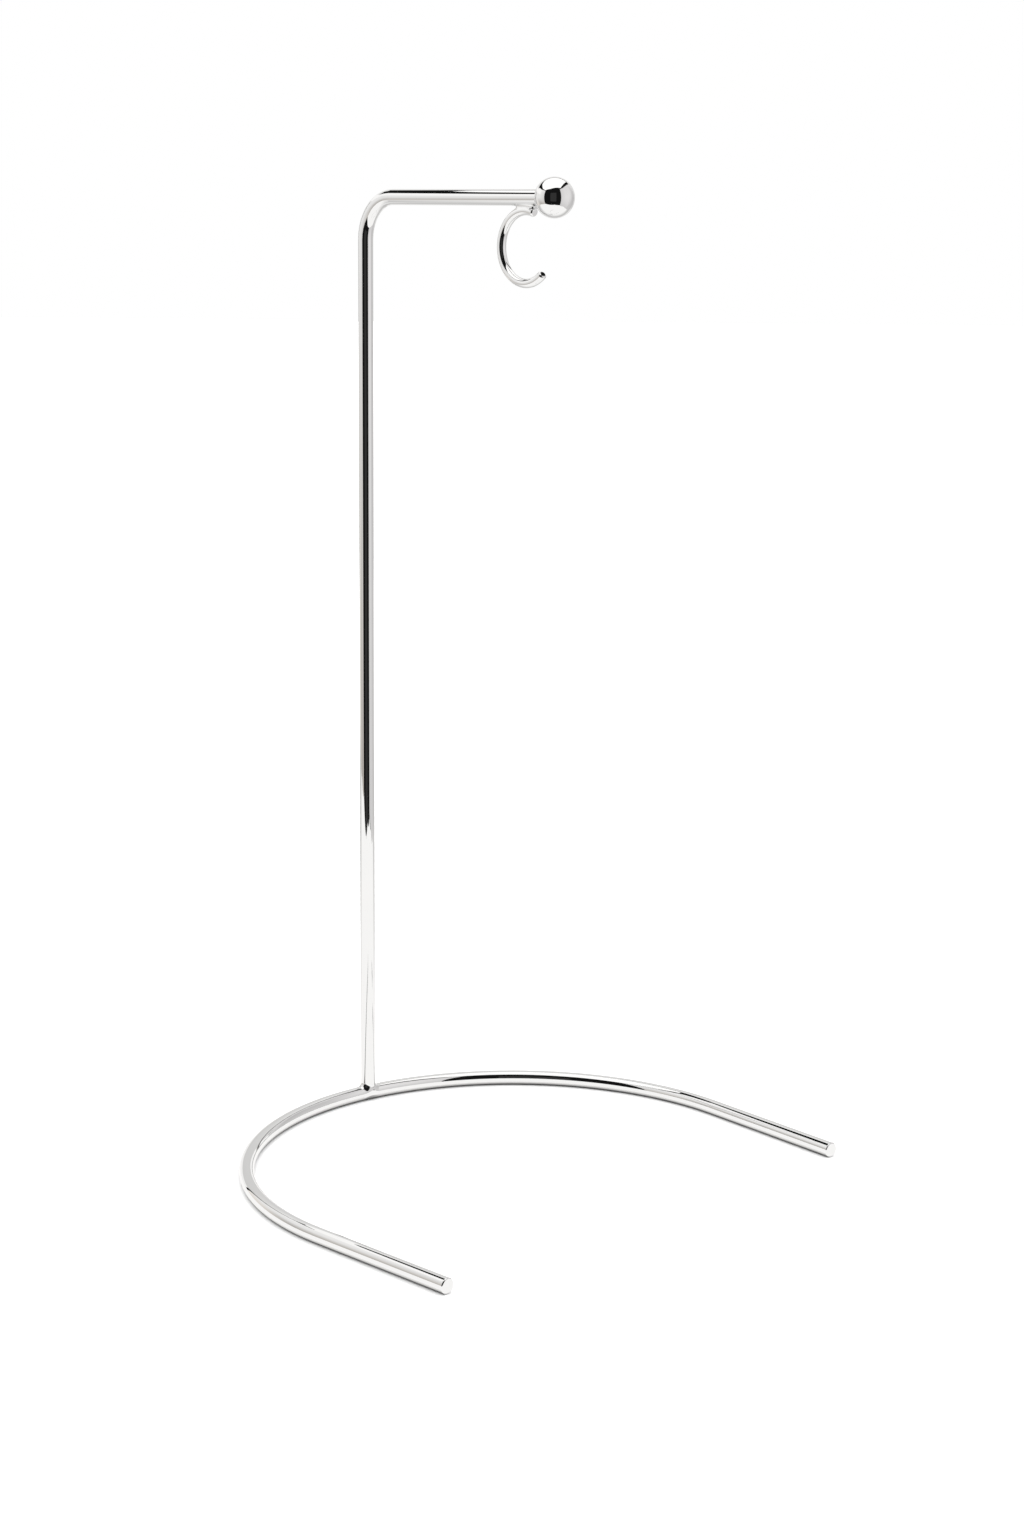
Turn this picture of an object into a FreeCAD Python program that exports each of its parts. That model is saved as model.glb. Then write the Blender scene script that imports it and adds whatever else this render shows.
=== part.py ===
import FreeCAD, Part
import math
import os

# A one-hook display stand bent from round rod, chrome plated.
# +X is the way the arm and the open side of the base face, +Z is up, +Y is to the left of the arm.
# The origin is on the table, in the middle of the base's footprint.  All sizes are in millimetres.

Vec = FreeCAD.Vector
UP = Vec(0, 0, 1)

# Base hoop
HOOP_ROD = 6.0            # rod diameter
HOOP_BEND_R = 106.4       # radius of the round back, to the rod's centreline
HOOP_WRAP = 186.0         # degrees of bend; past 180 the legs close in a little
HOOP_LEG = 66.9           # straight leg beyond the bend
HOOP_END_ROUND = 0.5      # rounding of the cut ends

# Mast: upright, bend and arm are one rod
MAST_ROD = 6.0
MAST_HEIGHT = 373.2       # table to the arm's centreline
MAST_BEND_R = 16.5        # centreline radius where the upright turns into the arm
ARM_REACH = 107.0         # upright's axis to the ball's centre
MAST_ROUND = 6.5          # degrees round the hoop, from the middle of its back to the upright
SADDLE_RISE = 1.5         # the coped foot stops this far above the hoop rod's centreline

# Spigot on the mast's foot, in a blind hole in the hoop
SPIGOT_DIA = 3.0
SPIGOT_DEPTH = 3.6        # below the top of the hoop rod
SPIGOT_CLEAR = 0.05       # radial, filled by the braze's thin film
SPIGOT_FLOOR = 0.3        # free space under the spigot

# Ball finial and the stud that holds it
BALL_DIA = 15.0
BALL_SOCKET = 1.6         # how deep the arm's end sits in the ball's counterbore
STUD_DIA = 3.0
STUD_IN_ARM = 7.0
STUD_IN_BALL = 5.0
STUD_CLEAR = 0.03         # radial, between the stud and both bores
STUD_END_GAP = 0.5        # free space beyond each end of the stud
STUD_CHAMFER = 0.4
SOCKET_CLEAR = 0.02       # radial, between the arm and the ball's counterbore

# Hook ring under the arm
HOOK_WIRE = 3.5
HOOK_BEND_R = 13.3        # ring radius, to the wire's centreline
HOOK_SETBACK = 14.9       # ring centre to ball centre, along the arm
HOOK_TOP_END = 70.0       # degrees above level where the ring starts, on the ball's side
HOOK_TIP_END = -46.5      # degrees where it stops, after going round the back and the bottom
HOOK_END_ROUND = 0.7

# Braze fillets
FOOT_FLARE = 2.6          # how far the foot's fillet spreads along the hoop and up the mast
FOOT_BRAZE_SIDE = 0.25    # how far it stands out beside the wider of the two rods
HOOK_BRAZE_LENGTH = 13.0  # along the arm
HOOK_BRAZE_WIDTH = 2.8    # across the arm

# Places worked out from the sizes above
HOOP_R = HOOP_ROD / 2
MAST_R = MAST_ROD / 2
WIRE_R = HOOK_WIRE / 2
BALL_R = BALL_DIA / 2
WRAP = math.radians(HOOP_WRAP / 2)
LEG_REACH = HOOP_BEND_R * (1 - math.cos(WRAP)) + HOOP_LEG * math.sin(WRAP)
FRONT_REACH = LEG_REACH + HOOP_R * abs(math.cos(WRAP))
APEX_X = -(FRONT_REACH - HOOP_R) / 2      # middle of the hoop's back, on the centreline
HOOP_CENTRE = Vec(APEX_X + HOOP_BEND_R, 0, HOOP_R)
FOOT_ANGLE = math.radians(MAST_ROUND)
FOOT = HOOP_CENTRE + Vec(-math.cos(FOOT_ANGLE), math.sin(FOOT_ANGLE), 0) * HOOP_BEND_R
ALONG_HOOP = Vec(math.sin(FOOT_ANGLE), math.cos(FOOT_ANGLE), 0)
ARM_START = Vec(FOOT.x, FOOT.y, MAST_HEIGHT)
BALL_CENTRE = ARM_START + Vec(ARM_REACH, 0, 0)
BALL_MOUTH = math.sqrt(BALL_R ** 2 - MAST_R ** 2)     # ball centre to the rim of its counterbore
ARM_END = BALL_CENTRE - Vec(BALL_MOUTH - BALL_SOCKET, 0, 0)
HOOK_CENTRE = BALL_CENTRE + Vec(-HOOK_SETBACK, 0, -(MAST_R + WIRE_R + HOOK_BEND_R))


def disc(centre, normal, radius):
    return Part.Face(Part.Wire(Part.makeCircle(radius, centre, normal)))


def round_end(solid, centre, radius, rounding):
    """Round the circular edge where a rod was cut flat."""
    edges = [e for e in solid.Edges
             if isinstance(e.Curve, Part.Circle)
             and e.Curve.Center.distanceToPoint(centre) < 0.01
             and abs(e.Curve.Radius - radius) < 0.01]
    return solid.makeFillet(rounding, edges)


def hoop_point(angle, side):
    """A point on the hoop's round centreline, angle in radians from the middle of its back."""
    return HOOP_CENTRE + Vec(-math.cos(angle), side * math.sin(angle), 0) * HOOP_BEND_R


def leg_direction(side):
    return Vec(math.sin(WRAP), side * math.cos(WRAP), 0)


def hoop_rod():
    """The base as one plain rod: straight leg, round back, straight leg."""
    bend_ends = [hoop_point(WRAP, side) for side in (-1, 1)]
    leg_ends = [end + leg_direction(side) * HOOP_LEG for end, side in zip(bend_ends, (-1, 1))]
    path = Part.Wire([
        Part.LineSegment(leg_ends[0], bend_ends[0]).toShape(),
        Part.Arc(bend_ends[0], hoop_point(0, 1), bend_ends[1]).toShape(),
        Part.LineSegment(bend_ends[1], leg_ends[1]).toShape()])
    rod = path.makePipe(disc(leg_ends[0], leg_direction(-1), HOOP_R))
    for end in leg_ends:
        rod = round_end(rod, end, HOOP_R, HOOP_END_ROUND)
    return rod


def spigot(clearance, floor):
    radius = SPIGOT_DIA / 2 + clearance
    bottom = HOOP_ROD - SPIGOT_DEPTH - floor
    top = HOOP_R + SADDLE_RISE + MAST_ROD
    return Part.makeCylinder(radius, top - bottom, Vec(FOOT.x, FOOT.y, bottom), UP)


def base_hoop():
    return hoop_rod().cut(spigot(SPIGOT_CLEAR, SPIGOT_FLOOR))


def mast_rod():
    """Upright, bend and arm as one plain rod, from the saddle to the end inside the ball."""
    foot = Vec(FOOT.x, FOOT.y, HOOP_R + SADDLE_RISE)
    bend_centre = ARM_START + Vec(MAST_BEND_R, 0, -MAST_BEND_R)
    bend_low = bend_centre - Vec(MAST_BEND_R, 0, 0)
    bend_high = bend_centre + Vec(0, 0, MAST_BEND_R)
    bend_mid = bend_centre + Vec(-1, 0, 1) * (MAST_BEND_R / math.sqrt(2))
    path = Part.Wire([
        Part.LineSegment(foot, bend_low).toShape(),
        Part.Arc(bend_low, bend_mid, bend_high).toShape(),
        Part.LineSegment(bend_high, ARM_END).toShape()])
    return path.makePipe(disc(foot, UP, MAST_R))


def stud(clearance, end_gap):
    start = ARM_END - Vec(STUD_IN_ARM + end_gap, 0, 0)
    length = STUD_IN_ARM + STUD_IN_BALL + 2 * end_gap
    return Part.makeCylinder(STUD_DIA / 2 + clearance, length, start, Vec(1, 0, 0))


def mast():
    """The rod coped to the hoop, with its spigot and the drilled end for the ball's stud."""
    rod = mast_rod().cut(hoop_rod())
    return rod.fuse(spigot(0, 0)).removeSplitter().cut(stud(STUD_CLEAR, STUD_END_GAP))


def ball_stud():
    plain = stud(0, 0)
    rims = [e for e in plain.Edges if isinstance(e.Curve, Part.Circle)]
    return plain.makeChamfer(STUD_CHAMFER, rims)


def ball_finial():
    ball = Part.makeSphere(BALL_R, BALL_CENTRE)
    counterbore = Part.makeCylinder(MAST_R + SOCKET_CLEAR, BALL_R, ARM_END, Vec(-1, 0, 0))
    return ball.cut(counterbore).cut(stud(STUD_CLEAR, STUD_END_GAP))


def ring_point(degrees):
    angle = math.radians(degrees)
    return HOOK_CENTRE + Vec(math.cos(angle), 0, math.sin(angle)) * HOOK_BEND_R


def hook_ring():
    start = ring_point(HOOK_TOP_END)
    end = ring_point(HOOK_TIP_END)
    halfway = (HOOK_TOP_END + HOOK_TIP_END + 360) / 2
    path = Part.Wire([Part.Arc(start, ring_point(halfway), end).toShape()])
    tangent = (start - HOOK_CENTRE).cross(Vec(0, 1, 0))
    ring = path.makePipe(disc(start, tangent, WIRE_R))
    for tip in (start, end):
        ring = round_end(ring, tip, WIRE_R, HOOK_END_ROUND)
    return ring


def foot_braze():
    """A flared fillet round the foot, trimmed to the width of the hoop rod."""
    low = HOOP_R + SADDLE_RISE
    rim = MAST_R + FOOT_FLARE
    top = HOOP_ROD + FOOT_FLARE
    reach = FOOT_FLARE * (1 - 1 / math.sqrt(2))
    points = [Vec(0, 0, low), Vec(rim, 0, low), Vec(rim, 0, HOOP_ROD), Vec(MAST_R, 0, top), Vec(0, 0, top)]
    profile = Part.Wire([
        Part.makeLine(points[0], points[1]),
        Part.makeLine(points[1], points[2]),
        Part.Arc(points[2], Vec(MAST_R + reach, 0, HOOP_ROD + reach), points[3]).toShape(),
        Part.makeLine(points[3], points[4]),
        Part.makeLine(points[4], points[0])])
    flare = Part.Face(profile).revolve(Vec(0, 0, 0), UP, 360)
    width = max(HOOP_ROD, MAST_ROD) + 2 * FOOT_BRAZE_SIDE
    slab = Part.makeBox(width, 2 * rim, top, Vec(-width / 2, -rim, 0))
    body = flare.common(slab)
    body.rotate(Vec(0, 0, 0), UP, -MAST_ROUND)
    body.translate(Vec(FOOT.x, FOOT.y, 0))
    return body.cut(hoop_rod()).cut(mast())


def hook_braze():
    """Filler in the wedge between the arm's underside and the top of the ring."""
    ellipse = Part.Ellipse(Vec(0, 0, 0), HOOK_BRAZE_LENGTH / 2, HOOK_BRAZE_WIDTH / 2).toShape()
    wedge_low = math.sqrt((HOOK_BEND_R + WIRE_R) ** 2 - (HOOK_BRAZE_LENGTH / 2) ** 2)
    arm_above = HOOK_BEND_R + WIRE_R + MAST_R
    blank = Part.Face(Part.Wire(ellipse)).extrude(Vec(0, 0, arm_above - wedge_low))
    blank.translate(HOOK_CENTRE + Vec(0, 0, wedge_low))
    ring = Part.makeTorus(HOOK_BEND_R, WIRE_R, HOOK_CENTRE, Vec(0, 1, 0))
    return blank.cut(mast_rod()).cut(ring)


NODES = {
    "base_hoop": base_hoop,
    "mast": mast,
    "ball_stud": ball_stud,
    "ball_finial": ball_finial,
    "hook_ring": hook_ring,
    "foot_braze": foot_braze,
    "hook_braze": hook_braze,
}

os.makedirs("parts", exist_ok=True)
for name, make in NODES.items():
    shape = make()
    shape.exportStep("parts/%s.step" % name)
    print(name, "solids", len(shape.Solids), "valid", shape.isValid(), "volume", round(shape.Volume, 2))
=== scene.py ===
import math

import bpy
from mathutils import Matrix, Vector


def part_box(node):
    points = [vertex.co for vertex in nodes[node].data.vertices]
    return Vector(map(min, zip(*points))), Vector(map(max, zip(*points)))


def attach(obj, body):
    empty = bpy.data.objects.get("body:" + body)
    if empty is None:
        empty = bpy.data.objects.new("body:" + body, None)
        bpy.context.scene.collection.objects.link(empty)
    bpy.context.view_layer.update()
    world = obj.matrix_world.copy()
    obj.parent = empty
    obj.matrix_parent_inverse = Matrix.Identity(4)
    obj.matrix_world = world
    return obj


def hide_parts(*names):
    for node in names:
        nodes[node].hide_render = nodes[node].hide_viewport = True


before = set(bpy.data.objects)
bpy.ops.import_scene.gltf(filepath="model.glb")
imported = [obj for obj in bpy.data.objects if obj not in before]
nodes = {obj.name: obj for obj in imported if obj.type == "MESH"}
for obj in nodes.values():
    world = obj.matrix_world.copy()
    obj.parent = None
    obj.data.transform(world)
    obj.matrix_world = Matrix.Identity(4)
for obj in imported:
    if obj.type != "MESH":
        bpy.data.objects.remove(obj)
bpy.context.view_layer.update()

# A one-hook stand of chrome-plated rod on a white floor.  The chrome reflects a tent of lit cloth,
# which nothing else sees; the tent's bright and dark parts make the bands along the rods.

MM = 0.001
UP = Vector((0, 0, 1))

# Places read from the frame
mast_low, mast_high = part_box("mast")
hoop_low, hoop_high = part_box("base_hoop")
ball_low, ball_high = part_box("ball_finial")
ring_low, ring_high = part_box("hook_ring")
ROD_R = (hoop_high.z - hoop_low.z) / 2
WIRE_R = (ring_high.y - ring_low.y) / 2
BALL = (ball_low + ball_high) / 2
FOOT = Vector((mast_low.x + ROD_R, (mast_low.y + mast_high.y) / 2, 0))
HOOP_R = (hoop_high.y - hoop_low.y) / 2 - ROD_R
HOOP_CENTRE = Vector((hoop_low.x + ROD_R + HOOP_R, 0, ROD_R))
RING_R = (ring_high.z - ring_low.z) / 2 - WIRE_R
RING_CENTRE = Vector((ring_low.x + WIRE_R + RING_R, BALL.y, ring_low.z + WIRE_R + RING_R))

# The camera, placed from the foot of the mast
HEADING = math.radians(46.576)      # turned left from looking along +Y
TILT = math.radians(11.757)         # looking down
ROLL = math.radians(0.48)
CAMERA_RIGHT = 59.72 * MM
CAMERA_BACK = 1081.9 * MM
CAMERA_UP = 368.6 * MM
FOCAL = 62.83                       # mm
SENSOR = 36.0                       # mm, along the picture's long side

TURN = Matrix.Rotation(HEADING, 4, "Z")


def studio(right, front, up):
    """A place in the studio: metres right of, in front of and above the foot, as the camera sees it."""
    return FOOT + TURN @ Vector((right, -front, up))


# --------------------------------------------------------------------- helpers

def scene_object(name, data):
    """A new object in the scene, at the origin."""
    obj = bpy.data.objects.new(name, data)
    bpy.context.scene.collection.objects.link(obj)
    return obj


def new_material(name):
    """A material with no nodes yet."""
    material = bpy.data.materials.new(name)
    material.use_nodes = True
    material.node_tree.nodes.clear()
    return material


def add(tree, kind, **inputs):
    """A new node, with some of its inputs set; an underscore stands for a space."""
    node = tree.nodes.new(kind)
    for key, value in inputs.items():
        node.inputs[key.replace("_", " ")].default_value = value
    return node


def ramp(tree, source, low, high, low_out, high_out):
    """A number taken from one range to another, and held at its ends."""
    node = add(tree, "ShaderNodeMapRange", From_Min=low, From_Max=high, To_Min=low_out, To_Max=high_out)
    tree.links.new(source, node.inputs["Value"])
    return node.outputs["Result"]


def combine(tree, operation, first, second):
    """The sum or the product of two numbers."""
    node = add(tree, "ShaderNodeMath")
    node.operation = operation
    tree.links.new(first, node.inputs[0])
    tree.links.new(second, node.inputs[1])
    return node.outputs["Value"]


def noise(tree, place, scale, **inputs):
    """Noise in three dimensions, its scale in cells per metre."""
    node = add(tree, "ShaderNodeTexNoise", Scale=scale, **inputs)
    tree.links.new(place, node.inputs["Vector"])
    return node.outputs["Fac"]


def surface(tree, shader):
    """The material's output."""
    output = add(tree, "ShaderNodeOutputMaterial")
    tree.links.new(shader, output.inputs["Surface"])


# ------------------------------------------------------------------- materials

CHROME = (0.875, 0.875, 0.875)
STEEL = (0.5, 0.5, 0.52)
HAZED = (0.96, 0.965, 0.97)         # how haze changes the metal's colour
HAZE_SCALE = 70.0                   # cells per metre
MARKS_SCALE = 2500.0
SWELL_SCALE = 45.0
HAZE_RANGE = (0.35, 0.75)           # the part of the noise that the roughness follows
MARKS_RANGE = (0.60, 0.80)
MARKS_ROUGH = 0.05                  # the roughness that the deepest marks add
SWELL_HEIGHT = 0.003 * MM
MARKS_HEIGHT = 0.0004 * MM
MARKS_STRENGTH = 0.25


def metal(name, tint=CHROME, shine=(0.015, 0.05)):
    """Polished metal: faint haze where it was handled, fine polishing marks and a slight waviness.
    Its roughness goes from the first number of shine to the second, and a little higher in the marks."""
    material = new_material(name)
    tree = material.node_tree
    link = tree.links.new
    place = add(tree, "ShaderNodeTexCoord").outputs["Object"]
    haze = noise(tree, place, HAZE_SCALE, Detail=4.0, Roughness=0.6)
    marks = noise(tree, place, MARKS_SCALE, Detail=3.0, Roughness=0.7)
    swell = noise(tree, place, SWELL_SCALE, Detail=1.0)

    rough = combine(tree, "ADD", ramp(tree, haze, *HAZE_RANGE, *shine),
                    ramp(tree, marks, *MARKS_RANGE, 0.0, MARKS_ROUGH))

    tone = add(tree, "ShaderNodeMix")
    tone.data_type = "RGBA"
    tone.inputs["A"].default_value = (*tint, 1)
    tone.inputs["B"].default_value = (*(part * share for part, share in zip(tint, HAZED)), 1)
    link(haze, tone.inputs["Factor"])

    low = add(tree, "ShaderNodeBump", Strength=1.0, Distance=SWELL_HEIGHT)
    link(swell, low.inputs["Height"])
    fine = add(tree, "ShaderNodeBump", Strength=MARKS_STRENGTH, Distance=MARKS_HEIGHT)
    link(marks, fine.inputs["Height"])
    link(low.outputs["Normal"], fine.inputs["Normal"])

    shader = add(tree, "ShaderNodeBsdfPrincipled", Metallic=1.0)
    link(tone.outputs["Result"], shader.inputs["Base Color"])
    link(rough, shader.inputs["Roughness"])
    link(fine.outputs["Normal"], shader.inputs["Normal"])
    surface(tree, shader.outputs["BSDF"])
    return material


def dress(node, material):
    """Give a CAD piece its material."""
    mesh = nodes[node].data
    mesh.materials.clear()
    mesh.materials.append(material)


rod_chrome = metal("rod_chrome")
ball_chrome = metal("ball_chrome")
wire_chrome = metal("wire_chrome")
braze_chrome = metal("braze_chrome", shine=(0.03, 0.08))
stud_steel = metal("stud_steel", tint=STEEL, shine=(0.3, 0.45))
dress("base_hoop", rod_chrome)
dress("mast", rod_chrome)
dress("ball_finial", ball_chrome)
dress("hook_ring", wire_chrome)
dress("ball_stud", stud_steel)


# ---------------------------------------------------------------- brazed joints

FOOT_FILLET = 2.3 * MM              # a fillet begins on each rod where the other is this near
RING_FILLET = 2.0 * MM
FOOT_JOINT = FOOT + UP * 1.9 * ROD_R                # on the mast's axis, just inside the hoop's rod
RING_JOINT = RING_CENTRE + UP * (RING_R + WIRE_R)   # where the ring touches the arm
FOOT_REACH = 7.5 * MM               # how far from its middle each skin may run
RING_REACH = 8.5 * MM
RING_END = math.radians(70)         # above level, where the ring's wire is cut near the ball
END_MARGIN = 0.8 * MM               # the fillet stops this far short of the cut
SUNK = 0.02 * MM                    # how far the skin lies under the plain rods
RINGS = 72
SPOKES = 144
HALVINGS = 24                       # of the search along each ray


def smooth_union(a, b, spread):
    """Two distances joined with a fillet: the same as the smaller one away from where they meet."""
    near = max(spread - abs(a - b), 0.0) / spread
    return min(a, b) - near * near * spread / 4


def torus_distance(point, centre, axis, ring, wire):
    """Distance to a torus; ring is the radius of its centreline."""
    offset = point - centre
    along = offset.dot(axis)
    across = (offset - axis * along).length
    return math.hypot(across - ring, along) - wire


def rod_distance(point, start, axis, radius):
    """Distance to a rod that begins flat at its start and runs on along its axis."""
    offset = point - start
    along = offset.dot(axis)
    return max((offset - axis * along).length - radius, -along)


def foot_distance(point):
    """Distance to the hoop and the upright with the fillet between them."""
    hoop = torus_distance(point, HOOP_CENTRE, UP, HOOP_R, ROD_R)
    upright = rod_distance(point, FOOT + UP * ROD_R, UP, ROD_R)
    return smooth_union(hoop, upright, FOOT_FILLET)


def ring_distance(point):
    """Distance to the ring and the arm with the fillet between them."""
    past_end = Vector((math.sin(RING_END), 0, -math.cos(RING_END)))
    cut = (point - RING_CENTRE).dot(past_end) + END_MARGIN
    ring = max(torus_distance(point, RING_CENTRE, Vector((0, 1, 0)), RING_R, WIRE_R), cut)
    arm = rod_distance(point, BALL, Vector((-1, 0, 0)), ROD_R)
    return smooth_union(ring, arm, RING_FILLET)


def skin_point(centre, ray, reach, distance):
    """Where a ray from inside a joint comes out of the metal, or its far end if it doesn't."""
    if distance(centre + ray * reach) + SUNK <= 0:
        return centre + ray * reach
    low, high = 0.0, reach
    for _ in range(HALVINGS):
        middle = (low + high) / 2
        if distance(centre + ray * middle) + SUNK > 0:
            high = middle
        else:
            low = middle
    return centre + ray * low


def fillet(name, centre, distance, reach, node):
    """The skin of a brazed joint, found along rays from a point inside it.  Past the joint it dips
    just under the rods, and it ends inside them."""
    points = []
    for i in range(RINGS + 1):
        polar = math.pi * i / RINGS
        for j in range(SPOKES):
            turn = 2 * math.pi * j / SPOKES
            level = math.sin(polar)
            ray = Vector((level * math.cos(turn), level * math.sin(turn), math.cos(polar)))
            points.append(skin_point(centre, ray, reach, distance))
    faces = []
    for i in range(RINGS):
        for j in range(SPOKES):
            here, beside = i * SPOKES + j, i * SPOKES + (j + 1) % SPOKES
            faces.append((here, here + SPOKES, beside + SPOKES, beside))
    mesh = bpy.data.meshes.new(name)
    mesh.from_pydata(points, [], faces)
    mesh.validate()
    mesh.shade_smooth()
    mesh.materials.append(braze_chrome)
    piece = scene_object(name, mesh)
    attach(piece, "root")
    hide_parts(node)


fillet("foot_fillet", FOOT_JOINT, foot_distance, FOOT_REACH, "foot_braze")
fillet("ring_fillet", RING_JOINT, ring_distance, RING_REACH, "hook_braze")


# ------------------------------------------------------------------ lit cloth

WARM = (1.0, 0.99, 0.975)
BROWN = (1.0, 0.935, 0.86)
PINK = (1.0, 0.98, 0.975)

# Heights and brightness of the tent.  Its places are metres right of and in front of the foot.
ARM_UP = 0.37
TENT_TOP = 0.867
TENT_BACK = -0.592
CANOPY = 1.22                       # brightness of the cloth overhead
CANOPY_EDGE = [(0.010, 0.438), (0.373, 0.362), (0.405, -0.10), (0.455, -0.53), (-0.20, -0.53),
               (-0.26, -0.44), (-0.41, -0.27), (-0.45, -0.17), (-0.605, 0.08)]

# The canopy's front left corner slopes down to its outer edge
CANOPY_FALL = [(0.010, 0.438, TENT_TOP), (-0.605, 0.08, TENT_TOP), (-0.455, 0.335, 0.775),
               (-0.131, 0.432, 0.812)]

# A strip of cloth across the back left corner: right, front, and the height of its top
FLAP = [(-0.174, -0.46, 0.56), (-0.226, -0.38, 0.56), (-0.357, -0.235, 0.60), (-0.39, -0.15, 0.67),
        (-0.526, 0.07, 0.69)]
FLAP_HEM = 0.50                     # the height of its low edge
FLAP_TONE = 1.08

# Posts of the walls: right, front, height; then brightness at the floor, at the arm and at the top
LEFT_POSTS = [(-0.475, 0.375, 0.76, 0.56, 0.76, 0.84),
              (-0.658, 0.078, 0.81, 0.42, 0.90, 1.0),
              (-0.675, -0.26, 0.83, 0.80, 0.90, 1.0),
              (-0.68, TENT_BACK + 0.045, 0.84, 0.92, 0.95, 1.0)]
RIGHT_POSTS = [(0.345, 0.435, 0.80, 0.66, 0.76, 0.74),
               (0.446, 0.242, 0.80, 0.70, 0.87, 0.82),
               (0.460, 0.078, 0.80, 0.70, 0.88, 0.80),
               (0.487, -0.161, 0.80, 0.66, 0.60, 0.80),
               (0.516, -0.378, 0.80, 0.62, 0.54, 0.90),
               (0.530, TENT_BACK, 0.80, 0.70, 0.85, 1.05)]
BACK_POSTS = [(-0.655, TENT_BACK, 0.82, 0.66, 0.72, 0.90),
              (-0.30, TENT_BACK - 0.01, 0.83, 0.66, 0.72, 0.95),
              (0.10, TENT_BACK - 0.01, 0.84, 0.66, 0.74, 1.0),
              (0.52, TENT_BACK, 0.81, 0.66, 0.80, 0.95)]

# Two rectangles that face the camera: left, right, front, low, high, brightness
SWEEP = (-0.655, 0.52, TENT_BACK + 0.01, 0, 0.13, 1.0)      # along the foot of the back wall
ROOM = (-0.69, 0.36, 1.75, -0.3, 1.2, 0.035)                # behind the camera, through the open front


def glow(name):
    """Lit cloth, its brightness taken from the mesh's own tones."""
    material = new_material(name)
    tree = material.node_tree
    tones = add(tree, "ShaderNodeAttribute")
    tones.attribute_name = "tone"
    light = add(tree, "ShaderNodeEmission")
    tree.links.new(tones.outputs["Color"], light.inputs["Color"])
    surface(tree, light.outputs["Emission"])
    return material


def stage_face(name, corners, material, seen, reflected):
    """One flat face of the studio, seen by the camera or in reflections.  It casts no shadow."""
    mesh = bpy.data.meshes.new(name)
    mesh.from_pydata([studio(*corner) for corner in corners], [], [tuple(range(len(corners)))])
    mesh.materials.append(material)
    obj = scene_object(name, mesh)
    obj.visible_camera = seen
    obj.visible_glossy = reflected
    obj.visible_diffuse = False
    obj.visible_shadow = False
    return mesh


def panel(name, corners, tones, tints=None):
    """A piece of lit cloth; each corner has its own brightness and tint."""
    mesh = stage_face(name, corners, cloth, False, True)
    tone = mesh.color_attributes.new("tone", "FLOAT_COLOR", "POINT")
    for item, value, tint in zip(tone.data, tones, tints or [WARM] * len(corners)):
        item.color = (*(value * part for part in tint), 1)


def wall(name, posts, low_tint=WARM, tint=WARM):
    """Cloth along a row of posts.  Its tint at the floor turns into the other by the arm's height."""
    for i, (left, right) in enumerate(zip(posts[:-1], posts[1:])):
        r0, f0, top0, low0, mid0, high0 = left
        r1, f1, top1, low1, mid1, high1 = right
        panel("%s_low_%d" % (name, i), [(r0, f0, 0), (r1, f1, 0), (r1, f1, ARM_UP), (r0, f0, ARM_UP)],
              (low0, low1, mid1, mid0), (low_tint, low_tint, tint, tint))
        panel("%s_high_%d" % (name, i), [(r0, f0, ARM_UP), (r1, f1, ARM_UP), (r1, f1, top1), (r0, f0, top0)],
              (mid0, mid1, high1, high0), [tint] * 4)


def rectangle(name, left, right, front, low, high, tone):
    """A flat rectangle of cloth, evenly lit."""
    corners = [(left, front, low), (right, front, low), (right, front, high), (left, front, high)]
    panel(name, corners, [tone] * 4)


cloth = glow("cloth")
panel("canopy", [(*place, TENT_TOP) for place in CANOPY_EDGE], [CANOPY] * len(CANOPY_EDGE))
panel("canopy_flap", CANOPY_FALL, [CANOPY] * len(CANOPY_FALL))
for (r0, f0, top0), (r1, f1, top1) in zip(FLAP[:-1], FLAP[1:]):
    panel("corner_flap", [(r0, f0, FLAP_HEM), (r1, f1, FLAP_HEM), (r1, f1, top1), (r0, f0, top0)],
          [FLAP_TONE] * 4)
wall("left_cloth", LEFT_POSTS, BROWN)
wall("right_cloth", RIGHT_POSTS, PINK, PINK)
wall("back_cloth", BACK_POSTS)
rectangle("sweep", *SWEEP)
rectangle("room", *ROOM)


# ----------------------------------------------------------------------- floor

FAR = 8.0                           # half the width of the floor that the camera sees
FLOOR_WHITE = 0.92                  # the share of light that it gives back
TABLE_EDGE = [(-0.77, -0.66), (-0.694, -0.361), (-0.658, 0.078), (-0.475, 0.395), (0.073, 0.522),
              (0.324, 0.435), (0.446, 0.242), (0.460, 0.078), (0.487, -0.161), (0.530, -0.378),
              (0.55, -0.66)]
# The table in the chrome glows; painted shade dims it from TABLE_BRIGHT at the front to TABLE_DIM at the
# back.
TABLE_BRIGHT = 1.07                 # brightness at the front and at the back
TABLE_DIM = 0.62
DIM_FROM = 0.05                     # behind the foot, where the table begins to dim
DIM_TO = 0.25                       # behind the foot, where it is at its dimmest
# Painted shadow: the table's glow is darkened where the rods close it in, standing in for contact shadow.
SHADE_REACH = 30 * MM               # how far from the table a rod still darkens it
SHADE_RANGE = (0.14, 0.68)          # how open the table is where it is darkest, and where fully lit
SHADE_DARKEST = 0.02
FRONT = studio(0, 1, 0) - FOOT      # level, towards the camera


def matt_white(name):
    """The floor the camera sees, shaded by the stand."""
    material = new_material(name)
    tree = material.node_tree
    diffuse = add(tree, "ShaderNodeBsdfDiffuse", Color=(FLOOR_WHITE, FLOOR_WHITE, FLOOR_WHITE, 1))
    surface(tree, diffuse.outputs["BSDF"])
    return material


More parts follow.
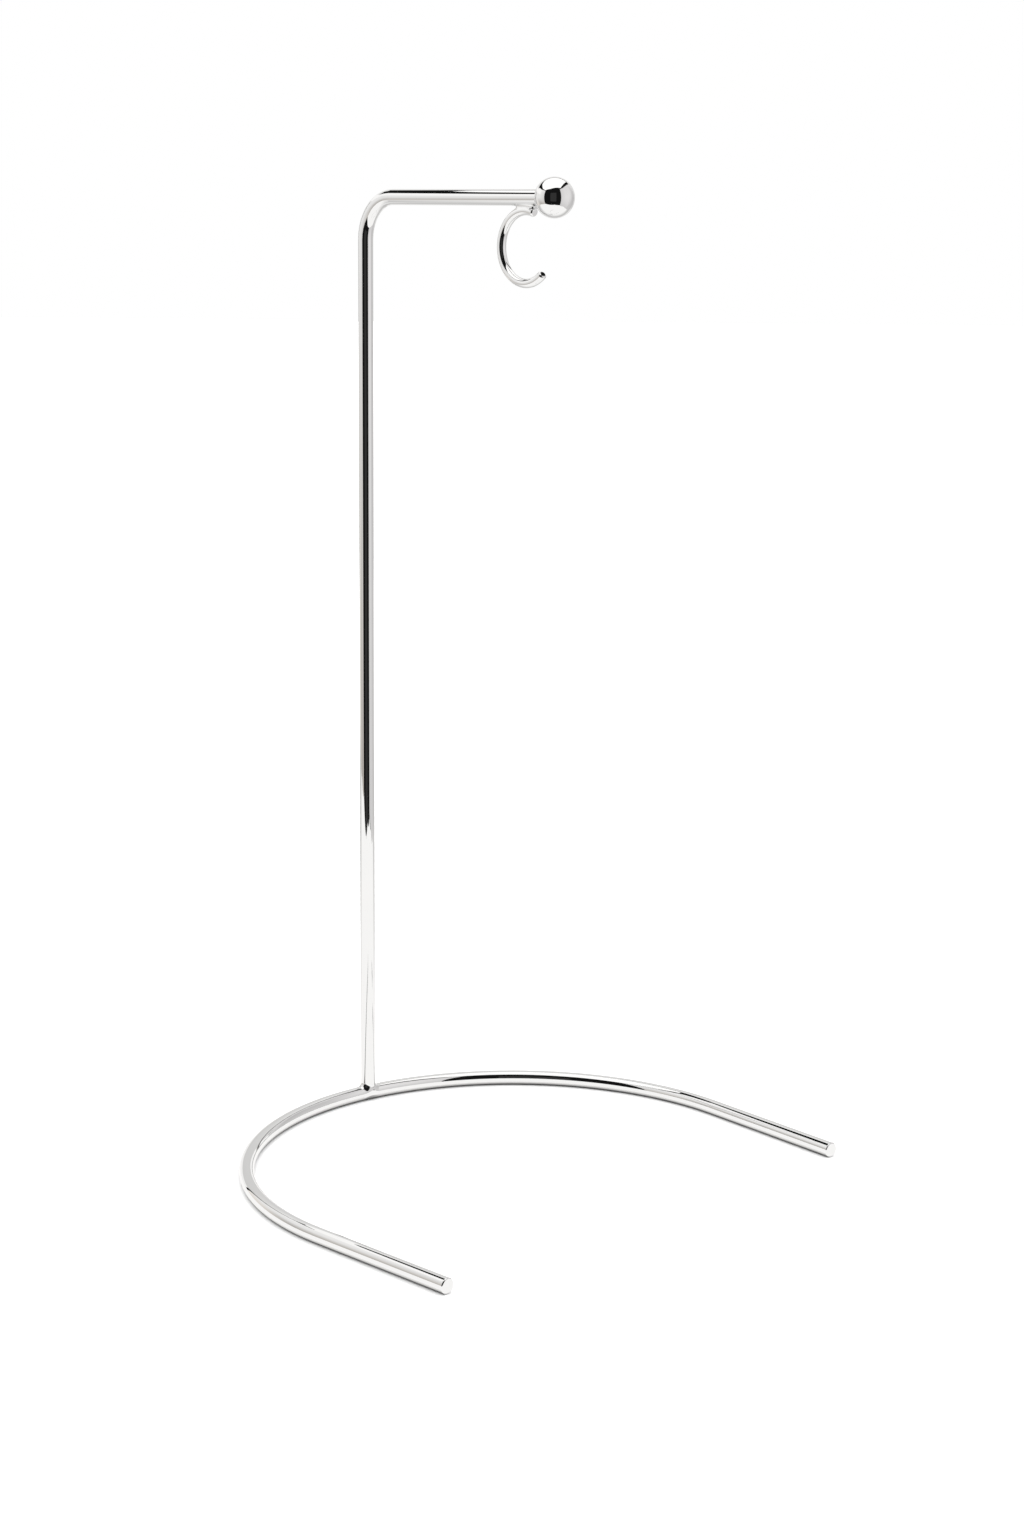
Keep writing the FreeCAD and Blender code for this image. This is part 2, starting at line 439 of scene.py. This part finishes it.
def lit_table(name):
    """The floor the chrome sees, a glow with painted light and shade: painted shadow darkens it close under
    the rods, and painted shade dims it towards the back.
    """
    material = new_material(name)
    tree = material.node_tree
    # painted contact shadow: the glow is darkened where the rods are near
    opening = add(tree, "ShaderNodeAmbientOcclusion", Distance=SHADE_REACH)
    shade = ramp(tree, opening.outputs["AO"], *SHADE_RANGE, SHADE_DARKEST, 1.0)

    # painted shade: the glow dims behind the foot
    place = add(tree, "ShaderNodeTexCoord")
    front = add(tree, "ShaderNodeVectorMath")
    front.operation = "DOT_PRODUCT"
    front.inputs[1].default_value = FRONT
    tree.links.new(place.outputs["Object"], front.inputs[0])
    foot_front = FOOT.dot(FRONT)
    painted_back_shade = ramp(tree, front.outputs["Value"], foot_front - DIM_TO, foot_front - DIM_FROM,
                 TABLE_DIM, TABLE_BRIGHT)

    light = add(tree, "ShaderNodeEmission", Color=(*WARM, 1))
    tree.links.new(combine(tree, "MULTIPLY", shade, painted_back_shade), light.inputs["Strength"])
    surface(tree, light.outputs["Emission"])
    return material


def ground(name, corners, material, seen, reflected):
    """A level floor at the height that the stand rests on."""
    stage_face(name, [(*corner, 0) for corner in corners], material, seen, reflected)


ground("floor", [(-FAR, -FAR), (FAR, -FAR), (FAR, FAR), (-FAR, FAR)], matt_white("floor"), True, False)
ground("table_top", TABLE_EDGE, lit_table("table_top"), False, True)


# ------------------------------------------------------------ light and camera

LIGHT_STRENGTH = 4.9
LIGHT_SPREAD = math.radians(120)
WHITE = (1, 1, 1, 1)
DARK = (0.008, 0.008, 0.008, 1)


def soft_light():
    """One very wide, even light from above; it shades the floor and isn't seen in the chrome."""
    light = bpy.data.lights.new("soft_light", "SUN")
    light.energy = LIGHT_STRENGTH
    light.angle = LIGHT_SPREAD
    scene_object("soft_light", light).visible_glossy = False


def backdrop():
    """White behind everything, and a dark room for reflections."""
    world = bpy.data.worlds.new("room")
    bpy.context.scene.world = world
    world.use_nodes = True
    tree = world.node_tree
    tree.nodes.clear()
    path = add(tree, "ShaderNodeLightPath")
    seen = add(tree, "ShaderNodeBackground", Color=WHITE, Strength=1.0)
    reflected = add(tree, "ShaderNodeBackground", Color=DARK, Strength=1.0)
    mix = add(tree, "ShaderNodeMixShader")
    tree.links.new(path.outputs["Is Camera Ray"], mix.inputs["Fac"])
    tree.links.new(reflected.outputs["Background"], mix.inputs[1])
    tree.links.new(seen.outputs["Background"], mix.inputs[2])
    output = add(tree, "ShaderNodeOutputWorld")
    tree.links.new(mix.outputs["Shader"], output.inputs["Surface"])


def camera():
    """The view of the whole stand, from about the arm's height and a little to the right of the mast."""
    data = bpy.data.cameras.new("camera")
    data.lens = FOCAL
    data.sensor_width = SENSOR
    obj = scene_object("camera", data)
    aim = TURN @ Matrix.Rotation(math.pi / 2 - TILT, 4, "X") @ Matrix.Rotation(ROLL, 4, "Z")
    obj.matrix_world = Matrix.Translation(studio(CAMERA_RIGHT, CAMERA_BACK, CAMERA_UP)) @ aim
    bpy.context.scene.camera = obj


soft_light()
backdrop()
camera()
bpy.context.scene.view_settings.view_transform = "Standard"
